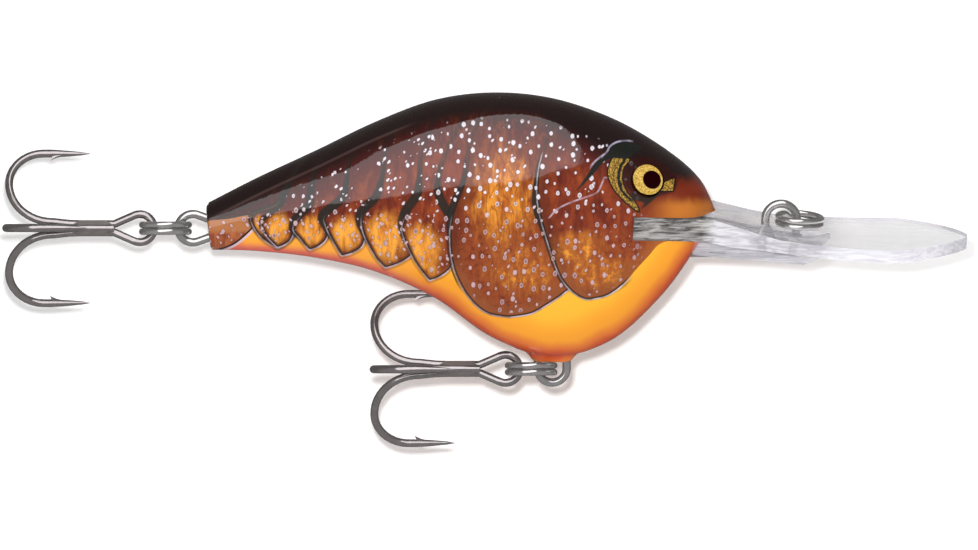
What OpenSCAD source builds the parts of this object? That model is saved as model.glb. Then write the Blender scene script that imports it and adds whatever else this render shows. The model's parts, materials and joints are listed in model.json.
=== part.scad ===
// Deep-diving crankbait: a balsa body in two glued halves on one through-wire, a clear
// diving lip in a slot under the nose, split rings and two treble hooks.
// Millimetres. +X towards the lip, +Z up; the origin is the centre of the line-tie loop.

/* [Body] */
// Greatest width of the body
body_width = 17; // [16:0.5:18.5]
// How square the cross-section is, 2 being an ellipse
body_squareness = 2.2; // [2:0.1:2.6]
// Length of the pad round the belly hanger, at its flat bottom
pad_length = 4.6; // [4.4:0.1:5]

/* [Diving lip] */
// Greatest width of the lip
lip_width = 19; // [17:0.5:21]
// Thickness of the blade
lip_thickness = 1.5; // [1.3:0.1:1.8]
// How far the lip points down, in degrees
lip_pitch = 4; // [3:0.5:5]

/* [Wire and rings] */
// Diameter of the through-wire
wire_diameter = 1; // [0.9:0.02:1]
// Outer diameter of the hook split rings
hook_ring_diameter = 6.24; // [6.1:0.02:6.3]
// Wire diameter of the hook split rings
hook_ring_wire = 0.77; // [0.7:0.01:0.78]
// Outer diameter of the line split ring
line_ring_diameter = 5.8; // [5.7:0.02:5.9]
// Wire diameter of the line split ring
line_ring_wire = 0.69; // [0.64:0.01:0.7]

/* [Treble hooks] */
// Diameter of the hook wire
hook_wire = 0.95; // [0.86:0.01:0.95]
// Distance from the shank's axis out to the point
hook_throw = 10.2; // [9.6:0.1:10.4]
// Length from the eye's centre to the middle of the bend's wire
hook_length = 15.5; // [14.5:0.1:16.5]
// Roll of the hanging rings and hooks about the fore-and-aft axis, in degrees
hang_roll = -12; // [-15:1:-5]

/* [Eyes and insides] */
// Diameter of each eye
eye_diameter = 3.9; // [3.4:0.1:4.2]
// Diameter of the ballast slug
ballast_diameter = 7.2; // [6:0.2:7.4]
// Length of the ballast slug across the body
ballast_length = 9; // [7:0.5:9.5]
// Diameter of each rattle ball
ball_diameter = 3; // [2.6:0.1:3.2]

/* [Hidden] */

$fn = 48;
gap = 0.05;                 // glue clearance round a part let into the wood or the lip
big = 200;
wire_r = wire_diameter / 2;

// The body's outline: stations from the flat tail end to the nose, [x, z] from the tail end.
tail_x = -67.6;
top_line = [[0, 1.8], [6, 4.9], [13, 8.2], [20, 11.6], [27, 14.2], [34, 15.05], [41, 14.3],
            [48, 11.85], [54, 8.3], [58, 4.75], [60, 0.8]];
belly_line = [[0.5, -3.6], [6, -3.75], [13, -4.55], [20, -6.2], [27, -9.4], [33.5, -14], [40.5, -16.4],
              [47.5, -14.5], [53.3, -9.3], [57.2, -3.9], [60, 0.8]];
// Half width at each station, as a share of the greatest
width_line = [0.31, 0.43, 0.59, 0.76, 0.9, 0.98, 1, 0.93, 0.79, 0.57, 0];
stations = len(top_line) - 1;
steps_per_station = 5;
skin_sides = 18;

// Hangers, in the body's middle plane
eye_r = 1.7;                       // centreline radius of the tail and belly eyes
tail_eye = [-69.2, 0, -1.1];
belly_eye = [-26.9, 0, -18];
pad_bottom = -16.95;
pad_width = 2.8;
tie_r = 1.85;                      // centreline radius of the line-tie loop, at the origin

// The lip: half width at each x, as a share of the greatest, in the lip's own tilted frame
lip_side = [[-8, 0.615], [-3, 0.71], [1, 0.81], [7, 0.94], [12, 0.995], [14, 0.99], [16, 0.87], [18.7, 0.61],
            [20.6, 0.36], [21.7, 0.15], [22, 0.04]];
blade_line = [[-0.2, -1.03], [4, -1.13], [9, -1.08], [14, -0.86], [19, -0.52], [22.2, -0.38]];
stem_bottom = -2.16;
stem_top = 0.49;
stem_rear = -17.4;
stem_front = -7.9;
ramp_knee = [-3.6, -0.42];         // the top falls from the stem through here to the blade
stem_half = 7.2;                   // half width of the stem at its rear end
keel_half = 1.6;
keel_side = [[-13.5, -2], [-13.5, -3.9], [-9.5, -4.75], [3, -4.95], [4.4, -4.4], [6.2, -2.3], [2, -1.2]];

// The through-wire's route in the middle plane: [x, z, bend radius]
strand_z = [-3, -4.05];            // the two strands under the lip
tail_throat = [3.6, 0.5];          // where the tail eye's two legs meet, from the eye's centre
tag_length = 7;                    // the tail eye's end lies under the strand, this far forwards and down
tag_drop = -1.33;
tail_steps = 26;
wire_route = [[belly_eye.x - eye_r, -12, 0], [belly_eye.x - eye_r, belly_eye.z - eye_r, eye_r],
              [belly_eye.x + eye_r, belly_eye.z - eye_r, eye_r], [belly_eye.x + eye_r, -14.4, 1.2],
              [-12.5, strand_z[1], 1.6], [tie_r, strand_z[1], 1.1], [tie_r, tie_r, tie_r], [-tie_r, tie_r, tie_r],
              [-tie_r, strand_z[0], 1], [-14, strand_z[0], 20]];

ballast_at = [-33.6, 0, -7.7];
rattle_at = [-37, 0, 5.2];
tube_length = 15;
tube_outer = 4.6;
tube_inner = 3.7;
plug_length = 1.5;
ball_count = 3;
ball_spacing = ball_diameter + gap;

// Rings and hooks hang in a frame at the eye that holds them, rolled by hang_roll
tail_ring_shift = -0.48;           // middle of the ring's wire from the eye's centre, along x
belly_ring_shift = 0.25;
belly_ring_drop = 0.05;
hook_eye_r = 1.65;
hook_eye_from_ring = -3.02;        // hook eye's centre from the ring's centre
hook_r = hook_wire / 2;
shank_r = 0.55;                    // shanks' distance from the shank's axis inside the braze
splay_r = 0.85;                    // and at the start of the bend
throat_x = -2.75;
bend_out_r = 4.05;                 // bend radius on the point's side
braze_span = [-8.3, -2.6];
barb_x = -10.2;
point_x = -5.9;

eye_station = 7.62;                // where the eyes sit on the skin: station and angle round it
eye_angle = 37;
eye_sink = 0.35;
lens_height = 0.42;

// ---------- curves ----------

function smooth(list, t) =         // Catmull-Rom curve through a list of numbers or points
    let (n = len(list) - 1, i = min(floor(t), n - 1), f = t - i,
         a = list[max(i - 1, 0)], b = list[i], c = list[i + 1], d = list[min(i + 2, n)])
    0.5 * (2 * b + (c - a) * f + (2 * a - 5 * b + 4 * c - d) * f * f + (3 * b - a - 3 * c + d) * f * f * f);

function unit(v) = v / norm(v);

function backwards(list) = [for (i = [len(list) - 1:-1:0]) list[i]];

function arc(centre, r, from, to, n) =
    [for (i = [0:n]) let (a = from + (to - from) * i / n) centre + r * [cos(a), sin(a)]];

function corner(p, q, s, r, n) =   // points round the corner at q, of bend radius r
    let (u = unit(p - q), v = unit(s - q), half = acos(u * v) / 2, cut = r / tan(half),
         a = q + u * cut, b = q + v * cut, m = q + unit(u + v) * r / sin(half))
    [for (i = [0:n]) let (f = i / n, w = unit((a - m) * sin((90 - half) * 2 * (1 - f)) +
        (b - m) * sin((90 - half) * 2 * f))) m + r * w];

function rounded(route, n) =       // a route of [x, z, bend radius] as plain points
    [for (i = [0:len(route) - 1]) let (q = [route[i][0], route[i][1]])
        each (i == 0 || i == len(route) - 1 || route[i][2] == 0) ? [q]
            : corner([route[i - 1][0], route[i - 1][1]], q, [route[i + 1][0], route[i + 1][1]], route[i][2], n)];

function in_plane(points) = [for (p = points) [p.x, 0, p[1]]];

// A round wire along a path, radius by radius
module wire(path, radii, sides = 10) {
    n = len(path);
    tangents = [for (i = [0:n - 1]) unit(path[min(i + 1, n - 1)] - path[max(i - 1, 0)])];
    first = unit(cross(tangents[0], abs(tangents[0].y) > 0.9 ? [1, 0, 0] : [0, 1, 0]));
    normals = [for (i = 0, v = first; i < n;
                    i = i + 1, v = i < n ? unit(v - tangents[i] * (v * tangents[i])) : v) v];
    points = [for (i = [0:n - 1], k = [0:sides - 1]) let (a = 360 * k / sides)
        path[i] + radii[i] * (normals[i] * cos(a) + cross(tangents[i], normals[i]) * sin(a))];
    walls = [for (i = [0:n - 2], k = [0:sides - 1])
        let (a = i * sides + k, b = i * sides + (k + 1) % sides) each [[a, a + sides, b], [b, a + sides, b + sides]]];
    ends = [for (k = [1:sides - 2]) each [[0, k, k + 1], [0, k + 1, k] + (n - 1) * sides * [1, 1, 1]]];
    polyhedron(points, concat(walls, ends), convexity = 10);
}

module plain_wire(path, r, sides = 10) wire(path, [for (p = path) r], sides);

// Part of a true ring, lying round the y axis in the middle plane
module upright_ring(centre, r, wire, from, to)
    translate(centre) rotate([90, 0, 0]) rotate([0, 0, from])
        rotate_extrude(angle = to - from) translate([r, 0]) circle(wire, $fn = 32);

// ---------- body ----------

function skin(t, a) =              // a point on the right-hand skin: station t, angle a from -90 under to 90 on top
    let (top = smooth(top_line, t), low = smooth(belly_line, t), w = smooth(width_line, t) * body_width / 2,
         e = 2 / body_squareness, h = (top - low) / 2 * sign(a) * pow(abs(sin(a)), e), m = (top + low) / 2)
    [tail_x + m.x + h.x, -w * pow(max(cos(a), 0), e), m[1] + h[1]];

function skin_normal(t, a) =
    unit(cross(skin(t, a + 1) - skin(t, a - 1), skin(t + 0.02, a) - skin(t - 0.02, a)));

module skin_half() {
    rows = stations * steps_per_station;
    row = skin_sides + 1;
    points = concat([for (j = [0:rows - 1], k = [0:skin_sides])
                        skin(j / steps_per_station, -90 + 180 * k / skin_sides)], [skin(stations, 0)]);
    apex = rows * row;
    last = (rows - 1) * row;
    sides = [for (j = [0:rows - 2], k = [0:skin_sides - 1]) let (a = j * row + k, b = a + row)
        each [[a, a + 1, b], [a + 1, b + 1, b]]];
    middle = [for (j = [0:rows - 2]) let (low = j * row, top = low + skin_sides)
        each [[low, low + row, top], [top, low + row, top + row]]];
    tail = [for (k = [1:skin_sides - 1]) [0, k + 1, k]];
    nose = concat([for (k = [0:skin_sides - 1]) [last + k, last + k + 1, apex]], [[last + skin_sides, last, apex]]);
    polyhedron(points, concat(sides, middle, tail, nose), convexity = 10);
}

// The pad under the belly hanger, right-hand half
module pad_half()
    difference() {
        hull() for (side = [-1, 1])
            translate([belly_eye.x + side * (pad_length - pad_width) / 2, 0, pad_bottom])
                cylinder(h = 2.4, d1 = pad_width, d2 = pad_width + 4.2);
        translate([-big / 2, 0, -big / 2]) cube(big);
    }

// A straight run of the slot that the wire is glued into, from a to b in the middle plane
module slot_run(a, b)
    translate([a.x, 0, a[1]]) rotate([0, -atan2(b[1] - a[1], b.x - a.x), 0])
        translate([-wire_r - gap, -wire_r - gap, -wire_r - gap])
            cube([norm(b - a) + wire_diameter + 2 * gap, wire_diameter + 2 * gap, wire_diameter + 2 * gap]);

module wire_slots() {
    back = [belly_eye.x - eye_r, belly_eye.x + eye_r];
    throat = [tail_eye.x + tail_throat.x, tail_eye.z + tail_throat[1]];
    slot_run([back[0], -19], [back[0], -12]);
    slot_run([back[1], -19], [back[1], -14.4]);
    slot_run([back[1], -14.4], [-12.5, strand_z[1]]);
    slot_run([-12.5, strand_z[1]], [-6, strand_z[1]]);
    slot_run([-6, strand_z[0]], [-14, strand_z[0]]);
    slot_run([-14, strand_z[0]], throat);
    translate([tail_eye.x, -wire_r - gap, tail_eye.z - eye_r - wire_r])
        cube([tail_throat.x + 1, wire_diameter + 2 * gap, 2 * eye_r + wire_diameter]);
    slot_run(throat - [0, 2 * tail_throat[1]], throat + [tag_length, tag_drop]);
}

module body_half() {
    difference() {
        union() {
            skin_half();
            pad_half();
        }
        lip_pocket();
        wire_slots();
        translate(ballast_at) rotate([90, 0, 0]) cylinder(h = ballast_length + 2 * gap, d = ballast_diameter + 2 * gap, center = true);
        translate(rattle_at) rotate([0, 90, 0]) cylinder(h = tube_length + 2 * gap, d = tube_outer + 2 * gap, center = true);
        eye_place() cylinder(h = 4, d = eye_diameter + 2 * gap);
    }
}

module body_right() color([0.55, 0.16, 0.07]) body_half();
module body_left() color([0.55, 0.16, 0.07]) mirror([0, 1, 0]) body_half();

// ---------- diving lip ----------

function smooth_line(list, steps) = [for (i = [0:(len(list) - 1) * steps]) smooth(list, i / steps)];

// The lip from above, and from the side
function lip_plan() =
    let (side = concat([[stem_rear, stem_half]], [for (p = smooth_line(lip_side, 4)) [p.x, p[1] * lip_width / 2]]))
    concat([for (p = side) [p.x, -p[1]]], backwards(side));

function lip_profile() =
    let (top = concat([[stem_front, stem_top], ramp_knee], smooth_line(blade_line, 3)),
         low = [for (p = smooth_line(blade_line, 3)) if (p.x > -0.1) p - [0, lip_thickness]])
    concat([[stem_rear, stem_bottom], [stem_rear, stem_top]], top, backwards(low),
           [[-6, blade_line[0][1] - lip_thickness], [-9, stem_bottom]]);

// A shape drawn in the middle plane, extruded to both sides
module slab(points, half) translate([0, half, 0]) rotate([90, 0, 0]) linear_extrude(2 * half) polygon(points);

// What the lip takes out of the body: the stem's slot right across, and the keel's slot under it
module lip_pocket()
    rotate([0, lip_pitch, 0]) {
        translate([stem_rear - gap, -big / 2, stem_bottom - gap]) cube([big, big, stem_top - stem_bottom + 2 * gap]);
        slab([[-13.5 - gap, -2], [-13.5 - gap, -3.9 - gap], [-9.5, -4.75 - gap], [4, -5.1], [4, -2]], keel_half + gap);
    }

module lip_solid()
    rotate([0, lip_pitch, 0]) {
        intersection() {
            translate([0, 0, -10]) linear_extrude(20) polygon(lip_plan());
            slab(lip_profile(), big / 2);
        }
        slab(keel_side, keel_half);
    }

// The wire's way through the lip: two legs of the loop and two strands under it
module lip_wire_way() {
    for (x = [-tie_r, tie_r]) translate([x, 0, strand_z[1] - 1]) cylinder(h = 5, r = wire_r + gap);
    slot_run([-20, strand_z[0]], [-tie_r, strand_z[0]]);
    slot_run([-20, strand_z[1]], [tie_r, strand_z[1]]);
    translate([-tie_r - 1.15, -wire_r - gap, strand_z[0]]) cube([1.15, wire_diameter + 2 * gap, 1.2]);
    translate([-20, -wire_r - gap, -8]) cube([20 + tie_r + wire_r + gap, wire_diameter + 2 * gap, 8 + strand_z[0]]);
}

module keel_windows()
    rotate([0, lip_pitch, 0])
        for (x = [-7.2, -3.6, 0.4], side = [-1, 1])
            translate([x, side * keel_half, -3.75]) cube([1.9, 1, 1.1], center = true);

module diving_lip() color([0.9, 0.93, 0.95, 0.5])
    difference() {
        lip_solid();
        lip_wire_way();
        keel_windows();
    }

// ---------- wire, ballast, rattle ----------

function tail_loop() =
    let (t = tail_throat, a = atan2(t[1], t.x) + acos(eye_r / norm(t)))
    concat([t + [tag_length, tag_drop]], [[t.x, -t[1]]], arc([0, 0], eye_r, -a, -360 + a, tail_steps), [t]);

function wire_line() =
    let (tail = [for (p = tail_loop()) p + [tail_eye.x, tail_eye.z]])
    concat(rounded(wire_route, 8), backwards(tail));

module through_wire() color([0.75, 0.75, 0.76]) {
    plain_wire(in_plane(wire_line()), wire_r - 0.02);
    upright_ring([0, 0, 0], tie_r, wire_r, 0, 180);
    upright_ring(belly_eye, eye_r, wire_r, 180, 360);
    upright_ring(tail_eye, eye_r, wire_r, 75, 285);
}

module ballast_weight() color([0.45, 0.45, 0.47])
    difference() {
        translate(ballast_at) rotate([90, 0, 0]) cylinder(h = ballast_length, d = ballast_diameter, center = true);
        wire_slots();
    }

module rattle_frame() translate(rattle_at) rotate([0, 90, 0]) children();

module rattle_tube() color([0.8, 0.65, 0.35])
    rattle_frame() difference() {
        cylinder(h = tube_length, d = tube_outer, center = true);
        cylinder(h = tube_length + 1, d = tube_inner, center = true);
    }

module rattle_plug(side) color([0.2, 0.2, 0.22])
    rattle_frame() translate([0, 0, side * (tube_length - plug_length) / 2])
        cylinder(h = plug_length, d = tube_inner - 0.02, center = true);
module rattle_plug_front() rattle_plug(1);
module rattle_plug_rear() rattle_plug(-1);

module rattle_balls() color([0.7, 0.7, 0.72])
    rattle_frame() for (i = [0:ball_count - 1]) translate([0, 0, (i - (ball_count - 1) / 2) * ball_spacing])
        sphere(d = ball_diameter);

// ---------- eyes ----------

// The frame of the right-hand eye: z along the skin's outward normal, from the bottom of its socket
module eye_place() {
    n = skin_normal(eye_station, eye_angle);
    translate(skin(eye_station, eye_angle) - eye_sink * n)
        rotate(a = acos(n.z), v = cross([0, 0, 1], n)) children();
}

module eye_disc() color([0.85, 0.65, 0.25]) eye_place() cylinder(h = 0.15, d = eye_diameter);

module eye_lens() {
    r = (pow(eye_diameter / 2, 2) + pow(lens_height, 2)) / (2 * lens_height);
    color([0.9, 0.9, 0.9, 0.4]) eye_place() translate([0, 0, 0.15])
        difference() {
            translate([0, 0, lens_height - r]) sphere(r, $fn = 240);
            translate([-big / 2, -big / 2, -big]) cube(big);
        }
}

module eye_disc_right() eye_disc();
module eye_disc_left() mirror([0, 1, 0]) eye_disc();
module eye_lens_right() eye_lens();
module eye_lens_left() mirror([0, 1, 0]) eye_lens();

// ---------- split rings ----------

// Two turns of round wire round the z axis, joined by a short step between them
module split_ring(outer, wire) color([0.72, 0.72, 0.74]) {
    r = (outer - wire) / 2;
    rise = wire / 2 + 0.01;
    step = 16;
    for (turn = [0, 1])
        rotate([0, 0, turn ? step : step + 2]) translate([0, 0, turn ? rise : -rise])
            rotate_extrude(angle = 358 - 2 * step) translate([r, 0]) circle(wire / 2, $fn = 32);
    plain_wire([for (i = [-4:12]) let (f = min(max(i / 8, 0), 1), a = -step + (2 * step) * i / 8)
        [r * cos(a), r * sin(a), -rise + 2 * rise * (f * f * (3 - 2 * f))]], wire / 2 - 0.02);
}

module hanging(eye, drop = 0) translate(eye - [0, 0, drop]) rotate([hang_roll, 0, 0]) children();

function ring_centre(shift) = shift - (hook_ring_diameter - hook_ring_wire) / 2;

module line_split_ring() {
    r = (line_ring_diameter - line_ring_wire) / 2;
    rotate([0, lip_pitch, 0]) translate([r - 0.37, 0, 0]) rotate([0, 0, -60]) split_ring(line_ring_diameter, line_ring_wire);
}

module tail_split_ring()
    hanging(tail_eye) translate([ring_centre(tail_ring_shift), 0, 0]) rotate([0, 0, 60])
        split_ring(hook_ring_diameter, hook_ring_wire);

module belly_split_ring()
    hanging(belly_eye, belly_ring_drop) translate([ring_centre(belly_ring_shift), 0, 0]) rotate([0, 0, 60])
        split_ring(hook_ring_diameter, hook_ring_wire);

// ---------- treble hooks ----------

// One prong in its own plane as [x, distance from the axis], from the throat to the point
bend_in_r = hook_throw - splay_r - bend_out_r;
bend_x = -hook_length;
prong_line = concat(
    [[throat_x - 0.3, shank_r], [braze_span[0] + 1.5, shank_r], [braze_span[0], shank_r + 0.06]],
    arc([bend_x + bend_in_r, splay_r + bend_in_r], bend_in_r, 270, 180, 9),
    arc([bend_x + bend_out_r, splay_r + bend_in_r], bend_out_r, 170, 90, 8),
    [[barb_x - 0.4, hook_throw], [barb_x + 0.5, hook_throw], [-8.4, hook_throw - 0.02], [-7, hook_throw - 0.03],
     [point_x, hook_throw - 0.02]]);
// Its radius along that line: full as far as the barb, then ground to a needle
point_radii = [hook_r, hook_r * 0.9, hook_r * 0.72, hook_r * 0.45, 0.02];
prong_radii = [for (i = [0:len(prong_line) - 1]) let (k = i - len(prong_line) + len(point_radii)) k < 0 ? hook_r : point_radii[k]];

function turned(line, angle) = [for (p = line) [p.x, p[1] * cos(angle), p[1] * sin(angle)]];

module barb(angle)
    rotate([angle, 0, 0]) linear_extrude(0.36, center = true)
        polygon([[barb_x + 0.7, hook_throw - 0.2], [barb_x - 0.55, hook_throw - 1.0], [barb_x - 0.1, hook_throw - 0.2]]);

function hook_eye() =
    let (t = [-throat_x, 0.62], a = atan2(t[1], t.x) + acos(hook_eye_r / norm(t)))
    [for (p = arc([0, 0], hook_eye_r, a, 360 - a, 22)) [-p.x, 0, p[1]]];

// Two prongs and the eye, bent from one wire
module hook_double() color([0.42, 0.41, 0.42]) {
    upper = turned(prong_line, 60);
    lower = turned(prong_line, -60);
    wire(concat(backwards(upper), hook_eye(), lower),
         concat(backwards(prong_radii), [for (p = hook_eye()) hook_r], prong_radii));
    barb(60);
    barb(-60);
}

// The third prong
module hook_single() color([0.42, 0.41, 0.42]) {
    wire(turned(prong_line, 180), prong_radii);
    barb(180);
}

// Braze that fills between the three shanks
module hook_braze() color([0.5, 0.49, 0.49])
    translate([braze_span[0], 0, 0]) rotate([0, 90, 0])
        linear_extrude(braze_span[1] - braze_span[0] - 0.4)
            polygon([for (a = [0:120:240]) each arc(shank_r * 0.95 * [cos(a + 90), sin(a + 90)], hook_r * 0.86, a + 30, a + 150, 5)]);

module hook_hung(eye, shift, drop = 0)
    hanging(eye, drop) translate([ring_centre(shift) + hook_eye_from_ring, 0, 0]) children();

module tail_hook_double() hook_hung(tail_eye, tail_ring_shift) hook_double();
module tail_hook_single() hook_hung(tail_eye, tail_ring_shift) hook_single();
module tail_hook_braze() hook_hung(tail_eye, tail_ring_shift) hook_braze();
module belly_hook_double() hook_hung(belly_eye, belly_ring_shift, belly_ring_drop) hook_double();
module belly_hook_single() hook_hung(belly_eye, belly_ring_shift, belly_ring_drop) hook_single();
module belly_hook_braze() hook_hung(belly_eye, belly_ring_shift, belly_ring_drop) hook_braze();

body_right();
body_left();
diving_lip();
through_wire();
ballast_weight();
rattle_tube();
rattle_plug_front();
rattle_plug_rear();
rattle_balls();
eye_disc_right();
eye_lens_right();
eye_disc_left();
eye_lens_left();
line_split_ring();
tail_split_ring();
belly_split_ring();
tail_hook_double();
tail_hook_single();
tail_hook_braze();
belly_hook_double();
belly_hook_single();
belly_hook_braze();
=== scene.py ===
"""A crankbait lure: painted balsa halves, clear diving lip, hanger wire, split rings and treble hooks.

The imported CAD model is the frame. Lengths in this script are millimetres in that frame, turned into metres
where a mesh is made. The paint is drawn in the frame of a flat side view, (u, v): u runs along the body and v
up it, seen from a little above, and both flanks carry the same drawing.
"""
import json
import math

import bpy
import numpy as np
from mathutils import Matrix, Vector

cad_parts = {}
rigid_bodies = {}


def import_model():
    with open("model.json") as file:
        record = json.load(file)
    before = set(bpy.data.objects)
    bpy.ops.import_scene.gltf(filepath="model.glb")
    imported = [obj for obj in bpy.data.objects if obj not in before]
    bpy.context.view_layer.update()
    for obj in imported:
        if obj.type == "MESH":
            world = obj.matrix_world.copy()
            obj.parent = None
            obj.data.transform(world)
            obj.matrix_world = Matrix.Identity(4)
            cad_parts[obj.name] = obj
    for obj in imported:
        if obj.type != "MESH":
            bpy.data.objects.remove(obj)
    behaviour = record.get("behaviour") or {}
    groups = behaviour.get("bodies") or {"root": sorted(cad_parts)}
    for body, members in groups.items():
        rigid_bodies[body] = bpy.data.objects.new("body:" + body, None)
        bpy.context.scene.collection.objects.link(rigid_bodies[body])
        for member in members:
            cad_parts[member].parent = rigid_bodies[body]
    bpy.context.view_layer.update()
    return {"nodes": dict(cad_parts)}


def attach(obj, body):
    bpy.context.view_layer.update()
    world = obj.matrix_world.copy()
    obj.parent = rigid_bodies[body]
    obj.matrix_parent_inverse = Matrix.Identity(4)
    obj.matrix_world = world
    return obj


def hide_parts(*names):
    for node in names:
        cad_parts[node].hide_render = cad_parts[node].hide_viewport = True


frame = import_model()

MM = 0.001
SHARP_ANGLE = math.radians(35)
VIEW_ELEVATION = math.radians(12)
UP_SHARE = math.cos(VIEW_ELEVATION)      # how much of z, and of depth, shows as height in the side view
DEPTH_SHARE = math.sin(VIEW_ELEVATION)


# ---------- curves ----------

def smooth(points, t):
    """A Catmull-Rom curve through points, at each t from 0 to the last point's number."""
    p = np.asarray(points, float)
    t = np.atleast_1d(np.asarray(t, float))
    last = len(p) - 1
    i = np.clip(np.floor(t).astype(int), 0, last - 1)
    f = (t - i)[:, None] if p.ndim > 1 else t - i
    a, b, c, d = p[np.maximum(i - 1, 0)], p[i], p[i + 1], p[np.minimum(i + 2, last)]
    return 0.5 * (2 * b + (c - a) * f + (2 * a - 5 * b + 4 * c - d) * f**2 + (3 * b - a - 3 * c + d) * f**3)


def smooth_line(points, steps=8):
    return smooth(points, np.linspace(0, len(points) - 1, (len(points) - 1) * steps + 1))


def arc(centre, radius, start, end, steps):
    """Points on a circle, from one angle to another in degrees."""
    a = np.radians(np.linspace(start, end, steps + 1))
    return np.asarray(centre, float) + radius * np.stack([np.cos(a), np.sin(a)], 1)


def bend(p, q, s, radius, steps):
    """Points round the corner at q, from p towards s."""
    p, q, s = (np.asarray(c, float) for c in (p, q, s))
    u, v = (p - q) / np.linalg.norm(p - q), (s - q) / np.linalg.norm(s - q)
    half = math.acos(u @ v) / 2
    centre = q + (u + v) / np.linalg.norm(u + v) * radius / math.sin(half)
    a, b = q + u * radius / math.tan(half) - centre, q + v * radius / math.tan(half) - centre
    turn = math.pi - 2 * half
    f = np.linspace(0, 1, steps + 1)[:, None]
    return centre + (a * np.sin(turn * (1 - f)) + b * np.sin(turn * f)) / math.sin(turn)


def routed(route, steps=16):
    """A route of (x, z, bend radius) as points."""
    spots = [r[:2] for r in route]
    points = [[spots[0]]]
    for before, (x, z, radius), after in zip(spots, route[1:-1], spots[2:]):
        points.append(bend(before, (x, z), after, radius, steps))
    return np.concatenate([*points, [spots[-1]]])


def evenly(path, step, *values):
    """The path, and values along it, at even steps."""
    path = np.asarray(path, float)
    along = np.concatenate([[0], np.cumsum(np.linalg.norm(np.diff(path, axis=0), axis=1))])
    keep = np.concatenate([[True], np.diff(along) > 1e-6])
    at = np.linspace(0, along[-1], max(2, round(along[-1] / step)) + 1)
    spread = [np.interp(at, along[keep], np.asarray(v, float)[keep]) for v in [*path.T, *values]]
    line = np.stack(spread[:path.shape[1]], 1)
    return (line, *spread[path.shape[1]:]) if values else line


def in_middle(points):
    return np.stack([points[:, 0], np.zeros(len(points)), points[:, 1]], 1)


def signed_distance(points, outline):
    """How far inside a closed outline each 2D point is; negative outside."""
    start = np.asarray(outline, float)
    end = np.roll(start, -1, axis=0)
    nearest = np.full(len(points), np.inf)
    inside = np.zeros(len(points), bool)
    x, y = points.T
    for (ax, ay), (bx, by) in zip(start, end):
        length = max((bx - ax) ** 2 + (by - ay) ** 2, 1e-12)
        along = np.clip(((x - ax) * (bx - ax) + (y - ay) * (by - ay)) / length, 0, 1)
        nearest = np.minimum(nearest, np.hypot(x - ax - along * (bx - ax), y - ay - along * (by - ay)))
        if ay != by:
            crosses = (ay > y) != (by > y)
            inside ^= crosses & (x < ax + (y - ay) * (bx - ax) / (by - ay))
    return np.where(inside, nearest, -nearest)


# ---------- meshes ----------

def add_mesh(name, vertices, faces, body, nodes=()):
    """A mesh piece from vertices in millimetres, smooth but for its sharp edges."""
    mesh = bpy.data.meshes.new(name)
    mesh.from_pydata((np.asarray(vertices) * MM).tolist(), [], [list(map(int, f)) for f in faces])
    mesh.validate()
    mesh.shade_smooth()
    mesh.set_sharp_from_angle(angle=SHARP_ANGLE)
    piece = bpy.data.objects.new(name, mesh)
    bpy.context.scene.collection.objects.link(piece)
    if body:
        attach(piece, body)
    if nodes:
        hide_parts(*nodes)
    return piece


def grid_faces(rows, sides, first=0, closed=True):
    """Quads between rows of points, round and round if closed."""
    across = sides if closed else sides - 1
    return [
        (first + r * sides + k, first + r * sides + (k + 1) % sides,
         first + (r + 1) * sides + (k + 1) % sides, first + (r + 1) * sides + k)
        for r in range(rows - 1) for k in range(across)
    ]


def sweep(path, radii, sides):
    """Vertices and faces of a round bar along a path, with its ends closed."""
    path = np.asarray(path, float)
    radii = np.broadcast_to(radii, len(path)).astype(float)
    tangents = np.gradient(path, axis=0)
    tangents /= np.linalg.norm(tangents, axis=1)[:, None]
    normal = np.cross(tangents[0], [0.0, 1.0, 0.0] if abs(tangents[0][1]) < 0.9 else [1.0, 0.0, 0.0])
    angles = np.linspace(0, 2 * math.pi, sides, endpoint=False)
    vertices = []
    for point, tangent, radius in zip(path, tangents, radii):
        normal = normal - tangent * (normal @ tangent)
        normal /= np.linalg.norm(normal)
        side = np.cross(tangent, normal)
        ring = np.outer(np.cos(angles), normal) + np.outer(np.sin(angles), side)
        vertices.append(point + radius * ring)
    faces = grid_faces(len(path), sides)
    faces.append(tuple(range(sides))[::-1])
    faces.append(tuple(range((len(path) - 1) * sides, len(path) * sides)))
    return np.concatenate(vertices), faces


def joined(*parts):
    """Several (vertices, faces) as one."""
    vertices, faces, count = [], [], 0
    for points, polygons in parts:
        vertices.append(np.asarray(points))
        faces += [tuple(i + count for i in f) for f in polygons]
        count += len(points)
    return np.concatenate(vertices), faces


def read(items, name, width, kind=float):
    """One property of each vertex, corner or normal of a mesh, as rows."""
    values = np.empty(len(items) * width, kind)
    items.foreach_get(name, values)
    return values.reshape(-1, width)


def prism(points):
    """A closed solid from its points: one end's outline, then the other end's."""
    n = len(points) // 2
    walls = [(k, (k + 1) % n, n + (k + 1) % n, n + k) for k in range(n)]
    return np.array(points, float), walls + [tuple(range(n))[::-1], tuple(range(n, 2 * n))]


def moved(part, matrix):
    """(vertices, faces) turned and shifted by a matrix."""
    vertices, faces = part
    m = np.array(matrix)
    return np.asarray(vertices) @ m[:3, :3].T + m[:3, 3], faces


# ---------- materials ----------

def colour(text):
    """A colour such as "F0A020", as linear numbers."""
    parts = [int(text[i:i + 2], 16) / 255 for i in (0, 2, 4)]
    return [c / 12.92 if c <= 0.04045 else ((c + 0.055) / 1.055) ** 2.4 for c in parts]


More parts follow.
